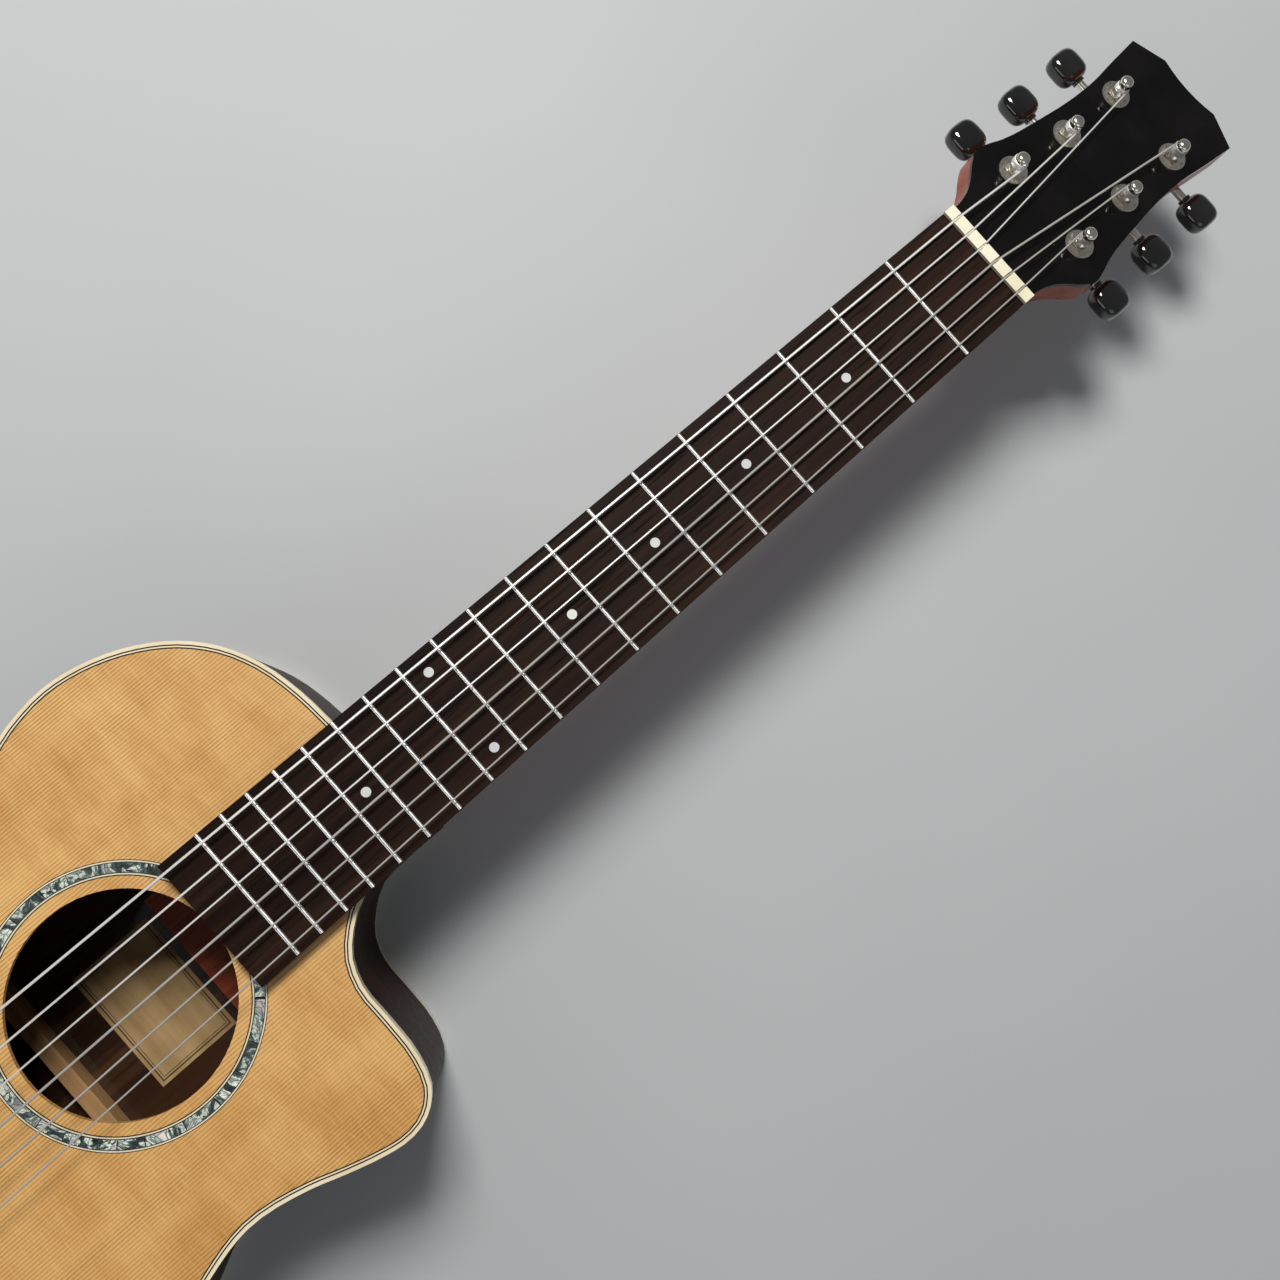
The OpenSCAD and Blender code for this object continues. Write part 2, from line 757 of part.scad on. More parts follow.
module housing(i) {
    at_post(i)
        difference() {
            union() {
                block([-housing_half, housing_half], housing_y, [housing_floor, head_back]);
                translate([0, screw_offset.y, head_back - 2])
                    cylinder(r = 3.4, h = 2, $fn = 32);
            }
            block(grown([-housing_half, housing_half], -housing_wall),
                grown(housing_y, -housing_wall), [housing_floor - 1, head_back - housing_roof]);
            translate([0, 0, head_back - 5])
                cylinder(r = post_radius + running_gap, h = 10);
            translate([screw_offset.x, screw_offset.y, head_back - 5])
                cylinder(r = 1.3, h = 10, $fn = 24);
            translate([0, gear_distance, axis_z])
                rotate([0, button_side(i) * 90, 0]) {
                    cylinder(r = worm_shaft_radius + running_gap, h = 20);
                    translate([0, 0, -20])
                        cylinder(r = pivot_radius + running_gap, h = 20);
                }
        }
}
module tuner_housings() {
    color("gold")
        for (i = [0:5]) housing(i);
}
module tuner_covers() {
    color("gold")
        for (i = [0:5])
            at_post(i)
                difference() {
                    block([-housing_half, housing_half], housing_y,
                        [housing_floor - cover_thickness, housing_floor]);
                    translate([0, 0, housing_floor - 3])
                        cylinder(r = tail_pivot_radius + running_gap, h = 6, $fn = 32);
                }
}
module tuner_bushings() {
    color("silver")
        for (i = [0:5])
            at_post(i)
                difference() {
                    union() {
                        cylinder(r = 6.6, h = 0.5);
                        translate([0, 0, 0.5])
                            cylinder(r = 5.4, h = 2.2, $fn = 6);
                        translate([0, 0, head_back + 0.5])
                            cylinder(r = bushing_hole_radius - 0.1, h = -head_back);
                    }
                    translate([0, 0, head_back - 1])
                        cylinder(r = post_radius + running_gap, h = 30);
                }
}
module tuner_screws() {
    color("silver")
        for (i = [0:5])
            at_post(i)
                translate([screw_offset.x, screw_offset.y, head_back - 2])
                    difference() {
                        union() {
                            translate([0, 0, -1])
                                cylinder(r = 2.2, h = 1, $fn = 32);
                            cylinder(r = 0.95, h = 8.5, $fn = 24);
                        }
                        block([-3, 3], [-0.3, 0.3], [-2, -0.6]);
                    }
}

module tuner_button(i) {
    reach = button_side(i) * button_reach;
    color([0.03, 0.03, 0.03])
        at_worm(i)
            difference() {
                union() {
                    translate([reach, 0, 0])
                        intersection() {
                            translate([0, 0, -button_thickness / 2])
                                cylinder(r = button_radius, h = button_thickness);
                            sphere(r = button_radius + 0.9);
                        }
                    translate([reach, 0, 0])
                        rotate([0, -button_side(i) * 90, 0])
                            cylinder(r = 3.1, h = button_radius + 1.2, $fn = 32);
                }
                translate([reach - button_side(i) * 3, 0, 0])
                    rotate([0, -button_side(i) * 90, 0])
                        cylinder(r = worm_shaft_radius + 0.02, h = 20);
            }
}

// A right-handed worm: its cross-section, a core with one wide ridge, twisted along the axis
worm_turns = 3;
worm_end = worm_turns * worm_pitch / 2;
ridge_base = 84;
ridge_tip = 46;
worm_section = concat(
    [for (a = [-ridge_tip, 0, ridge_tip]) worm_radius * [cos(a), sin(a)]],
    [for (a = [ridge_base:32:360 - ridge_base]) worm_core * [cos(a), sin(a)]]);
module worm_thread() {
    translate([-worm_end, 0, 0])
        rotate([0, 90, 0])
            linear_extrude(2 * worm_end, twist = -360 * worm_turns, slices = 14 * worm_turns, $fn = 4)
                rotate(-90 - 180 * worm_turns)
                    polygon(worm_section);
}
module tuner_worm(i) {
    side = button_side(i);
    color("silver")
        at_worm(i) {
            worm_thread();
            rotate([0, side * 90, 0]) {
                translate([0, 0, worm_end])
                    cylinder(r = worm_shaft_radius, h = button_reach - 3.1 - worm_end);
                translate([0, 0, -8.2])
                    cylinder(r = pivot_radius, h = 8.2 - worm_end);
            }
        }
}

// The wheel's outline: teeth with straight flanks, with a gap facing the worm
root_angle = 5.6;
tip_angle = 2.8;
wheel_outline = [for (k = [0:wheel_teeth - 1])
    let (a = 90 + 360 * (k + 0.5) / wheel_teeth)
    for (c = [[wheel_root, -root_angle], [wheel_radius, -tip_angle], [wheel_radius, tip_angle],
        [wheel_root, root_angle]])
        c[0] * [cos(a + c[1]), sin(a + c[1])]];
post_profile = concat(
    [[0, housing_floor - 1], [tail_pivot_radius, housing_floor - 1],
        [tail_pivot_radius, axis_z - 1], [post_radius, axis_z - 1],
        [post_radius, 3], [post_waist, 3.8], [post_waist, 7.2], [post_radius, 8]],
    [for (a = [0:15:75]) [1.2 + 1.8 * cos(a), 9 + 1.8 * sin(a)]], [[0, 10.8]]);
module tuner_post(i) {
    color("silver")
        at_post(i) {
            rotate_extrude()
                polygon(post_profile);
            translate([0, 0, axis_z - wheel_width / 2])
                linear_extrude(wheel_width)
                    polygon(wheel_outline);
        }
}

// ---- Electronics ----
// The panel follows the curve of the rib, and the housing fills the cutout behind it
panel_x = -upper_half;
panel_thickness = 1.2;
housing_back_x = panel_x + 34;
knob_radius = 6;
knob_span = [panel_x - panel_thickness - 3, panel_x - panel_thickness - 0.3];
knob_stem_radius = 3;
knob_y = [preamp_y - 14, preamp_y + 14];
switch_radius = 2.5;
control_z = preamp_z + 6;
control_depth = 12;
tray_z = [preamp_z - 13.5, preamp_z - 3.5];
tray_y = [preamp_y - 20, preamp_y + 20];
tray_wall = 1.2;
tray_back_x = panel_x + 29;
tray_gap = 0.3;
wire_hole_radius = 2.1;
module side_cylinder(y, z, x0, x1, radius) {
    translate([x0, y, z])
        rotate([0, 90, 0])
            cylinder(r = radius, h = x1 - x0);
}
module preamp_holes() {
    for (y = knob_y)
        side_cylinder(y, control_z, panel_x - 5, panel_x + control_depth + 2,
            knob_stem_radius + running_gap);
    side_cylinder(preamp_y, control_z, panel_x - 5, panel_x + control_depth + 2,
        switch_radius + running_gap);
    block([panel_x - 5, tray_back_x + 2], grown(tray_y, tray_gap), grown(tray_z, tray_gap));
}
module preamp_panel() {
    y = grown(preamp_span_y, 3);
    z = grown(preamp_span_z, 3);
    color([0.06, 0.06, 0.06])
        difference() {
            intersection() {
                translate([panel_x - 5, preamp_y, preamp_z])
                    rotate([90, 0, 90])
                        linear_extrude(20)
                            polygon(pill(y[1] - y[0], z[1] - z[0], 4));
                wall(-panel_thickness, 0, z[0] - 1, z[1] + 1);
            }
            preamp_holes();
        }
}
module preamp_housing() {
    color([0.08, 0.08, 0.08])
        difference() {
            intersection() {
                block([panel_x - 5, housing_back_x], preamp_span_y, preamp_span_z);
                slab(0, preamp_span_z[0] - 1, preamp_span_z[1] + 1);
            }
            block([panel_x + 8, housing_back_x - 2], grown(preamp_span_y, -2),
                [tray_z[1] + 2.3, preamp_span_z[1] - 2]);
            preamp_holes();
            side_cylinder(preamp_y, control_z, housing_back_x - 3, housing_back_x + 3,
                wire_hole_radius);
        }
}
module knob(y) {
    color([0.05, 0.05, 0.05])
        difference() {
            union() {
                side_cylinder(y, control_z, knob_span[0], knob_span[1], knob_radius);
                side_cylinder(y, control_z, knob_span[0] + 1, panel_x + control_depth,
                    knob_stem_radius);
            }
            block([knob_span[0] - 1, knob_span[0] + 0.7], [y - 0.4, y + 0.4],
                [control_z, control_z + 2 * knob_radius]);
        }
}
module volume_knob() { knob(knob_y[1]); }
module tone_knob() { knob(knob_y[0]); }
module tuner_switch() {
    color("dimgray")
        side_cylinder(preamp_y, control_z, panel_x - panel_thickness - 1.7,
            panel_x + control_depth - 2, switch_radius);
}
module battery_tray() {
    color([0.1, 0.1, 0.1])
        difference() {
            intersection() {
                block([panel_x - 5, tray_back_x], tray_y, tray_z);
                slab(-panel_thickness, tray_z[0] - 1, tray_z[1] + 1);
            }
            block([panel_x + 5, tray_back_x - tray_wall], grown(tray_y, -tray_wall),
                [tray_z[0] + tray_wall, tray_z[1] + 1]);
            block([panel_x - 5, panel_x + 0.4], [preamp_y - 6, preamp_y + 6],
                [tray_z[0] - 1, tray_z[0] + 2]);
        }
}
cell_radius = 8;
cell_height = 3.2;
cell_place = [16.3, 8.4];
module battery() {
    color("lightgray")
        for (side = [-1, 1], layer = [0, 1])
            translate([panel_x + cell_place.x - side * 3, preamp_y + side * cell_place.y,
                tray_z[0] + tray_wall + layer * (cell_height + 0.1)])
                cylinder(r = cell_radius, h = cell_height);
}

jack_length = 34;
module output_jack() {
    color("silver")
        translate([0, -half_length, body_depth / 2])
            rotate([-90, 0, 0])
                difference() {
                    union() {
                        translate([0, 0, -8])
                            cylinder(r = 6.9, h = 2.4);
                        translate([0, 0, -5.7])
                            cylinder(r = 4.9, h = 4.2);
                        translate([0, 0, -1.6])
                            cylinder(r = 8.5, h = 1.6);
                        cylinder(r = jack_radius - 0.1, h = jack_length);
                    }
                    translate([0, 0, -9])
                        cylinder(r = 3.2, h = 37);
                }
}

// The wires run along the inside of the body and are held at both ends
wire_radius = 0.9;
jack_wire = [
    [0, jack_length - half_length, body_depth / 2], [0, jack_length - half_length + 14, 34],
    [-14, -150, 18], [-60, -120, 15], [-104, -80, 15], [-104, -20, 15], [-80, 20, 16],
    [-80, 60, 20], [-68, 100, 34], [housing_back_x + 10, preamp_y - 3, control_z - 1],
    [housing_back_x + 2, preamp_y - 1, control_z],
    [housing_back_x - 1.5, preamp_y - 1, control_z]];
pickup_wire = [
    [wire_drop.x, wire_drop.y, body_depth + bridge_height - slot_depth],
    [wire_drop.x, wire_drop.y, inner_top - 6], [-38, saddle_y + 8, 66], [-66, -20, 60],
    [-78, 30, 58], [-70, 84, 56], [-62, 118, 52],
    [housing_back_x + 11, preamp_y + 4, control_z + 4],
    [housing_back_x + 3, preamp_y + 1, control_z],
    [housing_back_x - 1.5, preamp_y + 1, control_z]];
module wiring() {
    color([0.2, 0.2, 0.2]) {
        tube(jack_wire, wire_radius);
        tube(pickup_wire, wire_radius);
    }
}

// ---- All pieces ----
top_plate();
back_plate();
rib_bass();
rib_treble();
top_lining();
back_lining();
top_binding();
back_binding();
purfling_dark();
purfling_light();
rosette_shell();
rosette_rings();
top_braces();
back_braces();
neck_block();
tail_block();
bridge();
saddle();
saddle_pickup();
neck();
headplate();
fingerboard();
frets();
nut();
fret_markers();
truss_rod();
wound_strings();
plain_strings();
label();
tuner_housings();
tuner_covers();
tuner_bushings();
tuner_screws();
for (i = [1:6]) {
    tuner_button(6 - i);
    tuner_worm(6 - i);
    tuner_post(6 - i);
}
preamp_housing();
preamp_panel();
volume_knob();
tone_knob();
tuner_switch();
battery_tray();
battery();
output_jack();
wiring();
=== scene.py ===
"""A small-bodied cutaway guitar with nylon strings, seen from above the soundhole."""
import json
import math

import bmesh
import bpy
from mathutils import Matrix, Vector


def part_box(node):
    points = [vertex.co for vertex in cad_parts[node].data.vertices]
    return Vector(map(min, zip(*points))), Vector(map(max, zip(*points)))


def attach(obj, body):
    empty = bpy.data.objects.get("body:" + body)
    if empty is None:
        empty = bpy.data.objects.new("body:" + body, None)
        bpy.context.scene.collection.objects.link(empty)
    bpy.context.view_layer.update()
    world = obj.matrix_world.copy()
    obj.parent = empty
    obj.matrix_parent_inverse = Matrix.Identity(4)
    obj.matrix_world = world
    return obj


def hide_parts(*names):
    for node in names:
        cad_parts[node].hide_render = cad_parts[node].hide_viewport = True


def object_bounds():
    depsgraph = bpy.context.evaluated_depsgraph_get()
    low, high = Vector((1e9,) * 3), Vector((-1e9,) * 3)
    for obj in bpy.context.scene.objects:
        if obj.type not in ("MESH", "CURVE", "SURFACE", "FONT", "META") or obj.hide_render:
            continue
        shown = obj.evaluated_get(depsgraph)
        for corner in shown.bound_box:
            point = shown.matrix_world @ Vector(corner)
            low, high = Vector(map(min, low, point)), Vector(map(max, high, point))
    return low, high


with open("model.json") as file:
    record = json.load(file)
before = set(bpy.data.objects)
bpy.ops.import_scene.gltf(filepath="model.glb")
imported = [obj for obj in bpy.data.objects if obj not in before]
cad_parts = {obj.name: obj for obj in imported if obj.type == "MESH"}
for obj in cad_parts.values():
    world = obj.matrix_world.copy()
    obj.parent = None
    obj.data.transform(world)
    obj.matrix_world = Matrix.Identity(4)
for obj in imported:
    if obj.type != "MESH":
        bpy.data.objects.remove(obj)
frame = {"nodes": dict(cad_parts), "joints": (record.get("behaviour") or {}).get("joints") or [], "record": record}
cad_low, cad_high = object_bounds()
nodes = frame["nodes"]
joints = {joint["name"]: joint for joint in frame["joints"]}

# ---- Sizes read from the frame ----
NUT_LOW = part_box("nut")[0]
BOARD_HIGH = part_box("fingerboard")[1]
LABEL_LOW, LABEL_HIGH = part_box("label")
ROSETTE_LOW, ROSETTE_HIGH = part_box("rosette_shell")
HOLE = (ROSETTE_LOW + ROSETTE_HIGH) / 2
HEAD_NORMAL = Vector(joints["string_post_1_turn"]["axis"])
HEAD_ALONG = Vector((0, HEAD_NORMAL.z, -HEAD_NORMAL.y))
MM = 0.001
CREASE_ANGLE = math.radians(28)
TURN = 2 * math.pi


# ---- Camera ----
def make_camera():
    """The photographer stands over the upper bout; the neck runs up to the right."""
    data = bpy.data.cameras.new("camera")
    data.sensor_width = 36
    data.lens = 37.69
    data.clip_start = 0.02
    data.clip_end = 20
    camera = bpy.data.objects.new("camera", data)
    bpy.context.scene.collection.objects.link(camera)
    across = Vector((0.659902, 0.746869, 0.081953))
    down = Vector((0.751041, -0.652553, -0.100564))
    look = Vector((-0.021629, 0.127912, -0.991550))
    camera.matrix_world = Matrix((
        (across.x, -down.x, -look.x, 0.03634),
        (across.y, -down.y, -look.y, NUT_LOW.y - 0.27851),
        (across.z, -down.z, -look.z, BOARD_HIGH.z + 0.51962),
        (0, 0, 0, 1)))
    bpy.context.scene.camera = camera


make_camera()


# ---- Node-based materials ----
class Shader:
    """A material's node tree, with short calls for the nodes that the materials here need."""

    def __init__(self, name, metallic=0.0, coat=0.0, coat_roughness=0.05, specular=0.5):
        self.material = bpy.data.materials.new(name)
        self.material.use_nodes = True
        self.tree = self.material.node_tree
        self.bsdf = self.tree.nodes["Principled BSDF"]
        self.bsdf.inputs["Metallic"].default_value = metallic
        self.bsdf.inputs["Coat Weight"].default_value = coat
        self.bsdf.inputs["Coat Roughness"].default_value = coat_roughness
        self.bsdf.inputs["Specular IOR Level"].default_value = specular
        self.object_coords = self.node("ShaderNodeTexCoord").outputs["Object"]

    def node(self, kind, **settings):
        made = self.tree.nodes.new(kind)
        for key, value in settings.items():
            setattr(made, key, value)
        return made

    def put(self, value, socket):
        if isinstance(value, bpy.types.NodeSocket):
            self.tree.links.new(value, socket)
        elif isinstance(value, (tuple, list)) and len(value) == 3 and socket.type == "RGBA":
            socket.default_value = (*value, 1)
        else:
            socket.default_value = value

    def mapped(self, scale, rotation=(0, 0, 0), location=(0, 0, 0), source=None):
        mapping = self.node("ShaderNodeMapping")
        self.put(source or self.object_coords, mapping.inputs["Vector"])
        mapping.inputs["Scale"].default_value = scale
        mapping.inputs["Rotation"].default_value = rotation
        mapping.inputs["Location"].default_value = location
        return mapping.outputs["Vector"]

    def noise(self, vector, scale=1.0, detail=4.0, roughness=0.5, distortion=0.0):
        made = self.node("ShaderNodeTexNoise")
        self.put(vector, made.inputs["Vector"])
        made.inputs["Scale"].default_value = scale
        made.inputs["Detail"].default_value = detail
        made.inputs["Roughness"].default_value = roughness
        made.inputs["Distortion"].default_value = distortion
        return made.outputs["Fac"]

    def cell_edges(self, vector):
        """The distance to the nearest edge between cells."""
        made = self.node("ShaderNodeTexVoronoi", feature="DISTANCE_TO_EDGE")
        self.put(vector, made.inputs["Vector"])
        made.inputs["Scale"].default_value = 1.0
        return made.outputs["Distance"]

    def math(self, operation, a, b=0.0, c=0.0, clamp=False):
        made = self.node("ShaderNodeMath", operation=operation, use_clamp=clamp)
        self.put(a, made.inputs[0])
        self.put(b, made.inputs[1])
        self.put(c, made.inputs[2])
        return made.outputs[0]

    def separate(self, vector):
        made = self.node("ShaderNodeSeparateXYZ")
        self.put(vector, made.inputs[0])
        return made.outputs

    def combine(self, x, y, z):
        made = self.node("ShaderNodeCombineXYZ")
        for value, socket in zip((x, y, z), made.inputs):
            self.put(value, socket)
        return made.outputs[0]

    def ramp(self, factor, *stops):
        made = self.node("ShaderNodeValToRGB")
        elements = made.color_ramp.elements
        while len(elements) < len(stops):
            elements.new(0.5)
        for element, (position, colour) in zip(elements, stops):
            element.position = position
            element.color = (*colour, 1)
        self.put(factor, made.inputs["Fac"])
        return made.outputs["Color"]

    def mix(self, factor, a, b):
        made = self.node("ShaderNodeMix", data_type="RGBA")
        self.put(factor, made.inputs[0])
        self.put(a, made.inputs[6])
        self.put(b, made.inputs[7])
        return made.outputs[2]

    def fade(self, value, low, high, to_low=0.0, to_high=1.0):
        made = self.node("ShaderNodeMapRange")
        for number, entry in enumerate((value, low, high, to_low, to_high)):
            self.put(entry, made.inputs[number])
        return made.outputs[0]

    def bump(self, height, strength, distance):
        made = self.node("ShaderNodeBump")
        made.inputs["Strength"].default_value = strength
        made.inputs["Distance"].default_value = distance
        self.put(height, made.inputs["Height"])
        return made.outputs["Normal"]

    def finish(self, colour, roughness, normal=None):
        self.put(colour, self.bsdf.inputs["Base Color"])
        self.put(roughness, self.bsdf.inputs["Roughness"])
        if normal is not None:
            self.put(normal, self.bsdf.inputs["Normal"])
        return self.material


def spruce(name):
    """Quarter-sawn top: fine straight grain along the neck, silk flecks across it, under gloss, with painted shade
    darkening it away from the key light.
    """
    s = Shader(name, coat=0.6, coat_roughness=0.07)
    x, y, z = s.separate(s.object_coords)
    drift = s.noise(s.mapped((6, 1.2, 6)), scale=1.0, detail=2.0)
    across = s.math("MULTIPLY_ADD", drift, 0.012, x)
    mirrored = s.math("ABSOLUTE", s.math("ADD", across, -0.006))
    spacing = s.math("MULTIPLY_ADD", s.math("POWER", mirrored, 1.15), 240.0, 0.3)
    lines = s.math("FRACT", s.math("ADD", s.math("MULTIPLY", mirrored, 560.0), spacing))
    late_wood = s.ramp(lines, (0.0, (0.0,) * 3), (0.45, (0.15,) * 3), (0.80, (1.0,) * 3),
                       (0.97, (0.0,) * 3))
    strength = s.fade(s.noise(s.mapped((90, 1.5, 1)), detail=3.0), 0.32, 0.7, 0.45, 1.0)
    grain = s.math("MULTIPLY", late_wood, strength)
    flecks = s.noise(s.mapped((95, 900, 60), rotation=(0, 0, 0.06)), detail=3.0, roughness=0.65)
    silk = s.fade(flecks, 0.56, 0.72)
    mottle = s.noise(s.mapped((26, 55, 20), rotation=(0, 0, 0.2)), detail=4.0, roughness=0.6)
    broad = s.noise(s.mapped((7, 3, 5)), detail=2.0)
    colour = s.mix(s.fade(mottle, 0.35, 0.7), (0.74, 0.455, 0.165), (0.52, 0.26, 0.064))
    colour = s.mix(s.fade(broad, 0.35, 0.68, 0.0, 0.55), colour, (0.80, 0.53, 0.23))
    # Painted shade: the top turns darker and more amber as x minus y rises, away from the upper-left key light.
    painted_shade_away_from_key = s.fade(s.math("SUBTRACT", x, y), -0.12, 0.16, 0.0, 0.5)
    colour = s.mix(painted_shade_away_from_key, colour, (0.60, 0.30, 0.07))
    colour = s.mix(s.math("MULTIPLY", grain, 0.92), colour, (0.25, 0.078, 0.016))
    colour = s.mix(s.math("MULTIPLY", silk, 0.25), colour, (0.82, 0.54, 0.22))
    roughness = s.fade(grain, 0.0, 1.0, 0.24, 0.33)
    return s.finish(colour, roughness, s.bump(grain, 0.12, 0.0001))


def fibre_wood(name, dark, light, streak, along="Y", roughness=(0.3, 0.5), coat=0.0, pores=0.5,
               scale=1.0, streak_amount=0.6, specular=0.25):
    """Wood with long fibres along one axis: streaks, figure and short open pores."""
    s = Shader(name, coat=coat, coat_roughness=0.06, specular=specular)
    stretch = {"X": (2.4, 60, 60), "Y": (60, 2.4, 60), "Z": (60, 60, 2.4)}[along]
    fine = {"X": (40, 900, 900), "Y": (900, 40, 900), "Z": (900, 900, 40)}[along]
    bands = s.noise(s.mapped(stretch), scale=scale, detail=5.0, roughness=0.62, distortion=0.25)
    lines = s.noise(s.mapped(tuple(4 * v for v in stretch)), scale=scale, detail=3.0)
    pore = s.fade(s.noise(s.mapped(fine), scale=scale, detail=2.0), 0.60, 0.72)
    colour = s.mix(s.fade(bands, 0.32, 0.68), dark, light)
    colour = s.mix(s.math("MULTIPLY", s.fade(lines, 0.48, 0.72), streak_amount), colour, streak)
    colour = s.mix(s.math("MULTIPLY", pore, pores), colour, tuple(0.25 * c for c in dark))
    rough = s.fade(s.math("ADD", lines, s.math("MULTIPLY", pore, 0.6)), 0.3, 1.0, *roughness)
    height = s.math("SUBTRACT", s.math("MULTIPLY", lines, 0.3), pore)
    return s.finish(colour, rough, s.bump(height, 0.35 * pores + 0.05, 0.00012))


def plain_plastic(name, colour, shade, roughness=(0.12, 0.22), coat=0.4, grain=0.05,
                  specular=0.5):
    """Moulded plastic or bone with faint clouding, small scratches and handling marks."""
    s = Shader(name, coat=coat, coat_roughness=0.04, specular=specular)
    cloud = s.noise(s.object_coords, scale=45.0, detail=4.0)
    marks = s.noise(s.mapped((160, 900, 300), rotation=(0.4, 0.2, 0.7)), detail=3.0)
    made = s.mix(s.fade(cloud, 0.35, 0.65), colour, shade)
    return s.finish(made, s.fade(marks, 0.35, 0.7, *roughness), s.bump(marks, grain, 0.00005))


def metal(name, colour, tarnish, roughness=(0.08, 0.22), brush=(1, 1, 1), bump=0.04):
    """Plated or drawn metal with uneven polish."""
    s = Shader(name, metallic=1.0)
    cloud = s.noise(s.object_coords, scale=160.0, detail=4.0)
    lines = s.noise(s.mapped(tuple(700 * b for b in brush)), detail=3.0)
    made = s.mix(s.fade(cloud, 0.42, 0.72, 0.0, 0.7), colour, tarnish)
    return s.finish(made, s.fade(lines, 0.3, 0.75, *roughness), s.bump(lines, bump, 0.00004))


SHELL_BLOCKS = 23


def abalone(name):
    """Blocks of shell round the soundhole, with dark gaps and drifting green, grey and pink."""
    s = Shader(name, coat=0.8, coat_roughness=0.03)
    centred = s.mapped((1, 1, 1), location=(0, -HOLE.y, 0))
    x, y, z = s.separate(centred)
    angle = s.math("ARCTAN2", y, x)
    wobble = s.noise(s.combine(angle, 0.0, 0.0), scale=2.3, detail=1.0)
    turn = s.math("MULTIPLY_ADD", wobble, 1.6, s.math("MULTIPLY", angle, SHELL_BLOCKS / TURN))
    block = s.math("FLOOR", turn)
    within = s.math("FRACT", turn)
    gap = s.math("GREATER_THAN", s.math("ABSOLUTE", s.math("SUBTRACT", within, 0.5)), 0.487)
    tone = s.node("ShaderNodeTexWhiteNoise", noise_dimensions="1D")
    s.put(block, tone.inputs["W"])
    shift = s.combine(s.math("MULTIPLY", tone.outputs["Value"], 3.0), 0.0, 0.0)
    moved = s.node("ShaderNodeVectorMath", operation="ADD")
    s.put(centred, moved.inputs[0])
    s.put(shift, moved.inputs[1])
    flow = s.noise(s.mapped((95, 95, 95), source=moved.outputs[0]), detail=4.0,
                   roughness=0.62, distortion=1.6)
    colour = s.ramp(flow, (0.36, (0.010, 0.012, 0.013)), (0.46, (0.05, 0.07, 0.07)),
                    (0.49, (0.16, 0.24, 0.21)), (0.53, (0.95, 1.0, 0.86)),
                    (0.59, (0.14, 0.21, 0.20)), (0.66, (0.66, 0.58, 0.56)),
                    (0.78, (0.86, 0.90, 0.80)))
    dull = s.mix(s.fade(tone.outputs["Value"], 0.0, 1.0, 0.0, 0.5), colour, (0.06, 0.075, 0.07))
    veins = s.cell_edges(s.mapped((210, 210, 210), source=moved.outputs[0]))
    dull = s.mix(s.fade(veins, 0.0, 0.05, 0.75, 0.0), dull, (0.01, 0.015, 0.015))
    dull = s.mix(gap, dull, (0.01, 0.01, 0.01))
    return s.finish(dull, s.fade(flow, 0.3, 0.7, 0.12, 0.3), s.bump(flow, 0.1, 0.0001))


LIGHT_RING_INNER = 48.4 * MM
LIGHT_RING_OUTER = 53.2 * MM
LIGHT_RING_HALF = 0.26 * MM


def rosette_lines(name):
    """Thin dark and light rings on both sides of the shell ring."""
    s = Shader(name, coat=0.5)
    x, y, z = s.separate(s.mapped((1, 1, 1), location=(0, -HOLE.y, 0)))
    radius = s.math("SQRT", s.math("ADD", s.math("MULTIPLY", x, x), s.math("MULTIPLY", y, y)))
    inner = s.math("COMPARE", radius, LIGHT_RING_INNER, LIGHT_RING_HALF)
    outer = s.math("COMPARE", radius, LIGHT_RING_OUTER, LIGHT_RING_HALF)
    light = s.math("ADD", inner, outer, clamp=True)
    speck = s.noise(s.object_coords, scale=900.0)
    dark = s.mix(speck, (0.008, 0.008, 0.008), (0.03, 0.026, 0.022))
    return s.finish(s.mix(light, dark, (0.72, 0.64, 0.45)), s.fade(speck, 0.3, 0.7, 0.2, 0.35))


def aged_paper(name):
    """A blank parchment label with a double border."""
    s = Shader(name, specular=0.2)
    centre = (LABEL_LOW + LABEL_HIGH) / 2
    half = (LABEL_HIGH - LABEL_LOW) / 2
    x, y, z = s.separate(s.mapped((1, 1, 1), location=tuple(-centre)))
    from_edge_x = s.math("SUBTRACT", half.x, s.math("ABSOLUTE", x))
    from_edge_y = s.math("SUBTRACT", half.y, s.math("ABSOLUTE", y))
    edge = s.math("MINIMUM", from_edge_x, from_edge_y)
    thick = s.math("COMPARE", edge, 0.0019, 0.00035)
    thin = s.math("COMPARE", edge, 0.0031, 0.00016)
    border = s.math("ADD", thick, thin, clamp=True)
    stripes = s.noise(s.mapped((5, 95, 5)), detail=5.0, roughness=0.6)
    blotch = s.noise(s.object_coords, scale=70.0, detail=5.0)
    colour = s.mix(s.fade(stripes, 0.35, 0.68), (0.50, 0.34, 0.165), (0.33, 0.205, 0.085))
    colour = s.mix(s.fade(blotch, 0.45, 0.75, 0.0, 0.35), colour, (0.22, 0.13, 0.05))
    colour = s.mix(s.math("MULTIPLY", border, 0.85), colour, (0.03, 0.02, 0.012))
    return s.finish(colour, s.fade(blotch, 0.3, 0.7, 0.45, 0.65), s.bump(blotch, 0.1, 0.0001))


def nylon(name):
    """Clear grey monofilament."""
    s = Shader(name, specular=0.6)
    s.bsdf.inputs["Transmission Weight"].default_value = 0.15
    s.bsdf.inputs["IOR"].default_value = 1.53
    cloud = s.noise(s.mapped((400, 30, 400)), detail=2.0)
    return s.finish(s.mix(cloud, (0.34, 0.33, 0.31), (0.50, 0.48, 0.45)),
                    s.fade(cloud, 0.3, 0.7, 0.12, 0.25))


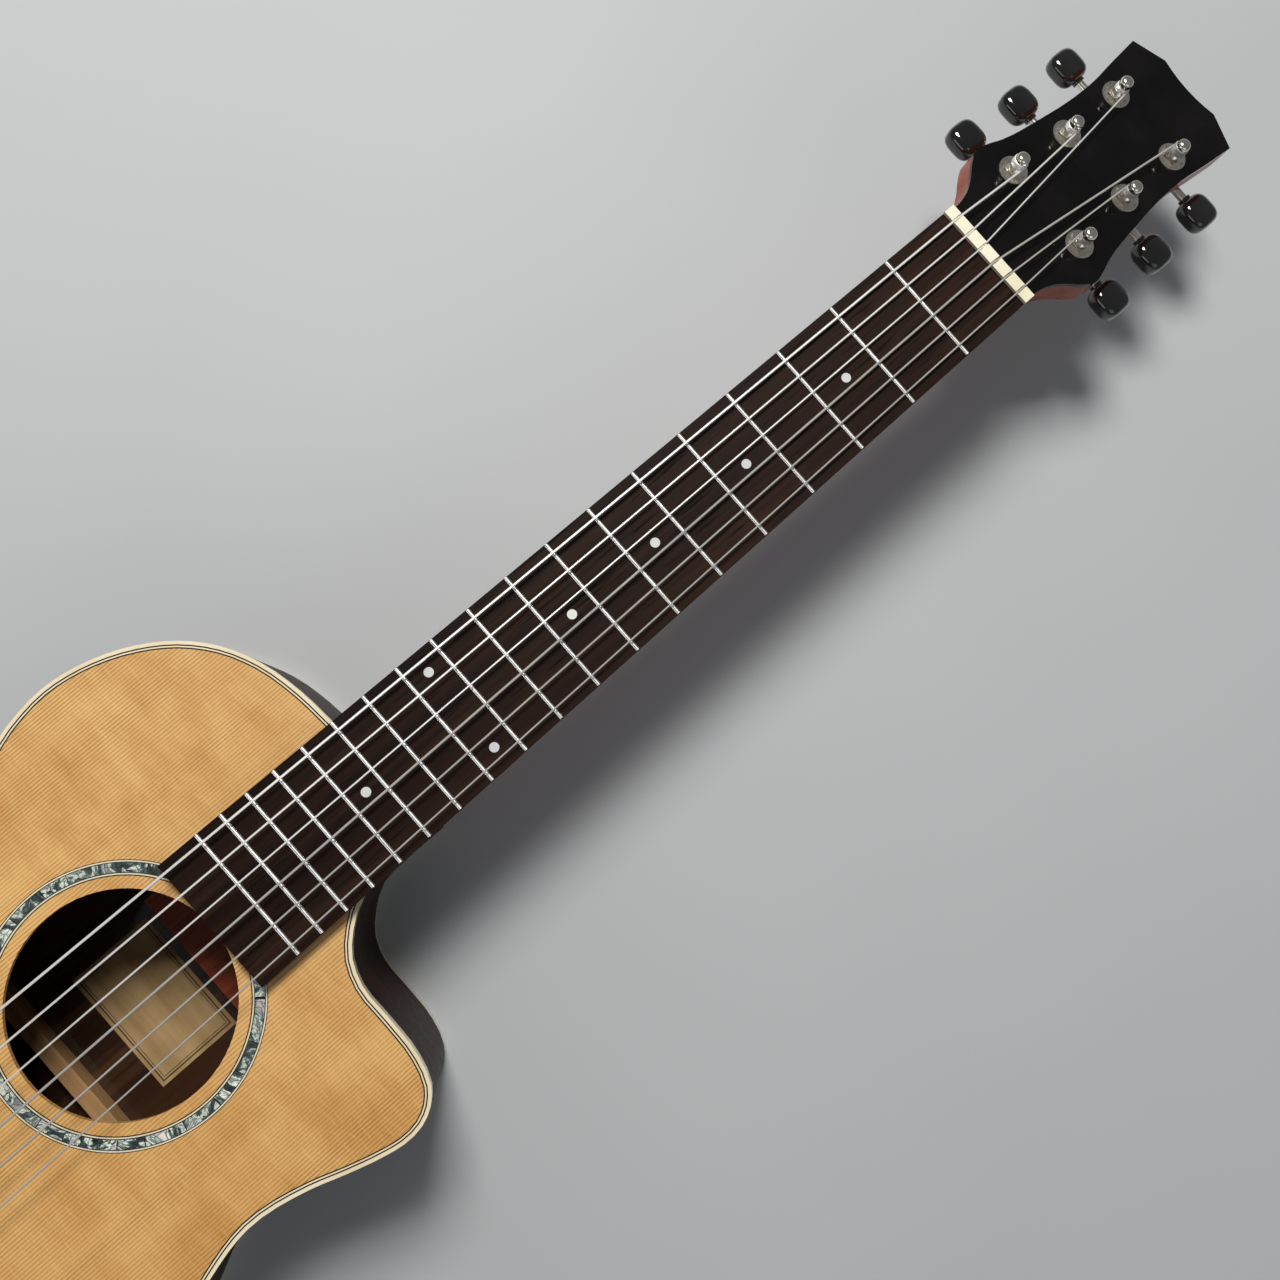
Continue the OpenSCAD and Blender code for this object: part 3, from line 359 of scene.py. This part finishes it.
def wound_wire(name):
    """Silver-plated winding: fine turns across the string."""
    s = Shader(name, metallic=0.6)
    x, y, z = s.separate(s.object_coords)
    turns = s.math("FRACT", s.math("MULTIPLY", y, 3600.0))
    ridge = s.math("PINGPONG", turns, 0.5)
    cloud = s.noise(s.mapped((300, 12, 300)), detail=2.0)
    colour = s.mix(cloud, (0.99, 0.98, 0.95), (0.92, 0.90, 0.86))
    return s.finish(colour, s.fade(cloud, 0.3, 0.7, 0.28, 0.4), s.bump(ridge, 0.08, 0.00004))


MATERIALS = {
    "spruce": spruce("spruce"),
    "ebony": fibre_wood("ebony", (0.010, 0.005, 0.0035), (0.03, 0.012, 0.006), (0.07, 0.028, 0.012),
                        coat=0.0, roughness=(0.35, 0.5), pores=0.35, streak_amount=0.35,
                        specular=0.03),
    "cedar": fibre_wood("cedar", (0.30, 0.16, 0.07), (0.42, 0.25, 0.12), (0.20, 0.09, 0.035),
                        along="X", roughness=(0.5, 0.7), pores=0.2),
    "binding": plain_plastic("binding", (0.80, 0.70, 0.50), (0.74, 0.62, 0.40), coat=0.5),
    "dark_line": plain_plastic("dark_line", (0.012, 0.011, 0.010), (0.022, 0.019, 0.016)),
    "shell": abalone("shell"),
    "brace": fibre_wood("brace", (0.30, 0.15, 0.06), (0.46, 0.27, 0.12), (0.22, 0.10, 0.04),
                        along="X", roughness=(0.5, 0.7), pores=0.2),
    "mahogany": fibre_wood("mahogany", (0.24, 0.034, 0.011), (0.40, 0.078, 0.022),
                           (0.12, 0.018, 0.008), coat=0.15, roughness=(0.34, 0.5), pores=0.55),
    "rosewood": fibre_wood("rosewood", (0.007, 0.0034, 0.0026), (0.020, 0.0085, 0.0055),
                           (0.04, 0.018, 0.010), roughness=(0.4, 0.65), pores=0.75,
                           streak_amount=0.5, specular=0.06),
    "bone": plain_plastic("bone", (0.80, 0.76, 0.60), (0.72, 0.66, 0.47), (0.28, 0.42), coat=0.1),
    "metal": metal("metal", (0.62, 0.60, 0.57), (0.40, 0.36, 0.31), (0.25, 0.45)),
    "black_gloss": plain_plastic("black_gloss", (0.003, 0.003, 0.003), (0.006, 0.005, 0.005),
                                 (0.06, 0.12), coat=0.15, grain=0.01, specular=0.15),
    "fret_wire": metal("fret_wire", (0.98, 0.97, 0.94), (0.88, 0.86, 0.81), (0.28, 0.42),
                       brush=(0.2, 1, 1), bump=0.01),
    "pearl": plain_plastic("pearl", (0.72, 0.72, 0.70), (0.50, 0.53, 0.54), (0.1, 0.2), coat=0.8),
    "wound_string": wound_wire("wound_string"),
    "nylon": nylon("nylon"),
    "paper": aged_paper("paper"),
    "tuner_metal": metal("tuner_metal", (0.96, 0.91, 0.82), (0.80, 0.73, 0.62), (0.1, 0.26)),
    "black_plastic": plain_plastic("black_plastic", (0.012, 0.012, 0.013), (0.02, 0.02, 0.02),
                                   (0.35, 0.5), coat=0.0, grain=0.15),
    "grey_plastic": plain_plastic("grey_plastic", (0.16, 0.16, 0.16), (0.22, 0.22, 0.21),
                                  (0.35, 0.5), coat=0.0, grain=0.15),
    "button_black": plain_plastic("button_black", (0.004, 0.004, 0.004), (0.009, 0.008, 0.008),
                                  (0.05, 0.1), coat=0.9, grain=0.01),
    "wire": plain_plastic("wire", (0.02, 0.02, 0.02), (0.035, 0.035, 0.035), (0.4, 0.55), coat=0.0),
}
MATERIALS["rosette_lines"] = rosette_lines("rosette_lines")
MATERIALS["ebony_back"] = fibre_wood(
    "ebony_back", (0.014, 0.008, 0.005), (0.05, 0.022, 0.011), (0.12, 0.055, 0.024),
    coat=0.7, roughness=(0.22, 0.36), pores=0.35, scale=0.7, streak_amount=0.45)

SLOTS = {part["node"]: part["material_slot"] for part in frame["record"]["subparts"]}
MATERIAL_OF = {"rosette_rings": "rosette_lines", "back_plate": "ebony_back"}


def dress_cad_nodes():
    """Gives each carried-over node its material and smooth shading on its round faces."""
    for name, node in nodes.items():
        node.data.materials.clear()
        node.data.materials.append(MATERIALS[MATERIAL_OF.get(name, SLOTS[name])])
        for face in node.data.polygons:
            face.use_smooth = True
        weld = node.modifiers.new("weld", "WELD")
        weld.merge_threshold = 0.00001
        split = node.modifiers.new("creases", "EDGE_SPLIT")
        split.split_angle = CREASE_ANGLE


dress_cad_nodes()


# ---- Pieces built here ----
def add_piece(name, mesh, body, slot):
    piece = bpy.data.objects.new(name, mesh)
    bpy.context.scene.collection.objects.link(piece)
    mesh.materials.append(MATERIALS[slot])
    for face in mesh.polygons:
        face.use_smooth = True
    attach(piece, body)
    return piece


def frame_of(axis, towards):
    """A basis whose Z is the axis and whose X points towards a direction."""
    z = Vector(axis).normalized()
    x = (Vector(towards) - z * z.dot(Vector(towards))).normalized()
    return Matrix((x, z.cross(x), z)).transposed()


def superellipsoid(name, centre, basis, sizes, powers, rings=28, sides=40):
    """A rounded block: half sizes along the basis, and how square it is each way."""
    def signed(value, power):
        return math.copysign(abs(value) ** power, value)

    work = bmesh.new()
    rows = []
    for i in range(1, rings):
        v = -math.pi / 2 + math.pi * i / rings
        row = []
        for j in range(sides):
            u = 2 * math.pi * j / sides
            local = Vector((
                sizes[0] * signed(math.cos(v), powers[0]) * signed(math.cos(u), powers[1]),
                sizes[1] * signed(math.cos(v), powers[0]) * signed(math.sin(u), powers[1]),
                sizes[2] * signed(math.sin(v), powers[0])))
            row.append(work.verts.new(Vector(centre) + basis @ local))
        rows.append(row)
    low = work.verts.new(Vector(centre) - basis @ Vector((0, 0, sizes[2])))
    high = work.verts.new(Vector(centre) + basis @ Vector((0, 0, sizes[2])))
    for j in range(sides):
        k = (j + 1) % sides
        work.faces.new((low, rows[0][k], rows[0][j]))
        work.faces.new((high, rows[-1][j], rows[-1][k]))
        for lower, upper in zip(rows, rows[1:]):
            work.faces.new((lower[j], lower[k], upper[k], upper[j]))
    mesh = bpy.data.meshes.new(name)
    work.to_mesh(mesh)
    work.free()
    return mesh


def tube_mesh(name, points, radius, sides=10):
    """A round tube along a list of points, with closed ends."""
    work = bmesh.new()
    rows = []
    side = Vector((0.31, 0.17, 1.0))
    for i, point in enumerate(points):
        ahead = points[min(i + 1, len(points) - 1)] - points[max(i - 1, 0)]
        ahead.normalize()
        side = (side - ahead * side.dot(ahead)).normalized()
        up = ahead.cross(side)
        row = []
        for j in range(sides):
            a = 2 * math.pi * j / sides
            row.append(work.verts.new(point + radius * (math.cos(a) * side + math.sin(a) * up)))
        rows.append(row)
    for lower, upper in zip(rows, rows[1:]):
        for j in range(sides):
            k = (j + 1) % sides
            work.faces.new((lower[j], lower[k], upper[k], upper[j]))
    work.faces.new(list(reversed(rows[0])))
    work.faces.new(rows[-1])
    bmesh.ops.recalc_face_normals(work, faces=work.faces)
    mesh = bpy.data.meshes.new(name)
    work.to_mesh(mesh)
    work.free()
    return mesh


BUTTON_HALF = 7.9 * MM
BUTTON_HALF_THICKNESS = 5.4 * MM
BUTTON_EDGE_GAP = 8.05 * MM
BUTTON_SQUARENESS = (0.62, 0.66)
COLLAR_RADIUS = 2.9 * MM
COLLAR_STEPS = (0.05, 0.4, 2.4, 5)


def make_tuner_buttons():
    """Black moulded buttons: soft-cornered flat blocks with a collar round the shaft."""
    for number in range(1, 7):
        low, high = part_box(f"tuner_button_{number}")
        centre = Vector(joints[f"tuner_key_{number}_turn"]["pos_m"])
        side = 1 if (low.x + high.x) > 0 else -1
        outer = high.x if side > 0 else low.x
        basis = frame_of((side, 0, 0), HEAD_ALONG)
        grip = Vector((outer - side * BUTTON_EDGE_GAP, centre.y, centre.z))
        body = f"tuner_key_{number}"
        mesh = superellipsoid(f"button_{number}", grip, basis,
                              (BUTTON_HALF, BUTTON_HALF_THICKNESS, BUTTON_HALF), BUTTON_SQUARENESS)
        piece = add_piece(f"button_{number}", mesh, body, "button_black")
        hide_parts(f"tuner_button_{number}")
        inner = low.x if side > 0 else high.x
        collar = [Vector((inner + side * d * MM, centre.y, centre.z)) for d in COLLAR_STEPS]
        add_piece(f"button_collar_{number}",
                  tube_mesh(f"collar_{number}", collar, COLLAR_RADIUS, 24), body, "button_black")


STRING_RADII = {6: 0.55, 5: 0.45, 4: 0.38, 3: 0.51, 2: 0.41, 1: 0.36}
WINDING_STEPS = 24
POST_WAIST = 2.4 * MM
HEAD_FACE_ABOVE_JOINT = 20 * MM
WINDING_START = 4.15 * MM
WINDING_PITCH = 0.98


def make_windings():
    """The string's turns round each post, which turn with it."""
    for number, thickness in STRING_RADII.items():
        joint = joints[f"string_post_{number}_turn"]
        foot = Vector(joint["pos_m"]) + HEAD_NORMAL * HEAD_FACE_ABOVE_JOINT
        basis = frame_of(HEAD_NORMAL, (1, 0, 0))
        radius = thickness * MM
        turns = 3 if number > 3 else 3.5
        hand = 1 if number > 3 else -1
        points = []
        for step in range(int(turns * WINDING_STEPS) + 1):
            angle = hand * TURN * step / WINDING_STEPS
            lift = WINDING_START + radius + step / WINDING_STEPS * 2 * radius * WINDING_PITCH
            reach = POST_WAIST + radius
            spot = Vector((reach * math.cos(angle), reach * math.sin(angle), lift))
            points.append(foot + basis @ spot)
        slot = "wound_string" if number > 3 else "nylon"
        add_piece(f"winding_{number}", tube_mesh(f"winding_{number}", points, radius),
                  f"string_post_{number}", slot)


make_tuner_buttons()
make_windings()


# ---- Stage ----
def make_stage():
    """A plain pale floor under the back."""
    bpy.ops.mesh.primitive_plane_add(size=12, location=(0, 0, cad_low.z - 0.0002))
    floor = bpy.context.object
    floor.name = "floor"
    s = Shader("floor", specular=0.3)
    cloud = s.noise(s.object_coords, scale=2.0, detail=3.0)
    floor.data.materials.append(
        s.finish(s.mix(s.fade(cloud, 0.3, 0.7), (0.40, 0.415, 0.425), (0.45, 0.465, 0.475)), 0.55))


def add_light(name, place, target, size, power, colour=(1, 1, 1)):
    data = bpy.data.lights.new(name, "AREA")
    data.shape = "RECTANGLE"
    data.size, data.size_y = size
    data.energy = power
    data.color = colour
    light = bpy.data.objects.new(name, data)
    light.location = place
    light.rotation_euler = (Vector(target) - Vector(place)).to_track_quat("-Z", "Y").to_euler()
    bpy.context.scene.collection.objects.link(light)


def make_lights():
    """A large soft key from the upper left, and weaker fill from the other side."""
    target = (0, 0.2, 0.05)
    add_light("key", (-0.75, 0.75, 1.6), target, (0.55, 0.55), 35, (1.0, 0.98, 0.95))
    add_light("fill", (1.6, -0.4, 1.5), target, (1.6, 1.6), 5, (0.93, 0.96, 1.0))
    add_light("low", (-0.3, -1.7, 1.0), target, (1.2, 0.8), 4)
    world = bpy.data.worlds.new("world")
    world.use_nodes = True
    world.node_tree.nodes["Background"].inputs["Color"].default_value = (0.92, 0.95, 1.0, 1)
    world.node_tree.nodes["Background"].inputs["Strength"].default_value = 0.15
    bpy.context.scene.world = world


make_stage()
make_lights()
bpy.context.scene.view_settings.view_transform = "Standard"
bpy.context.scene.view_settings.look = "None"
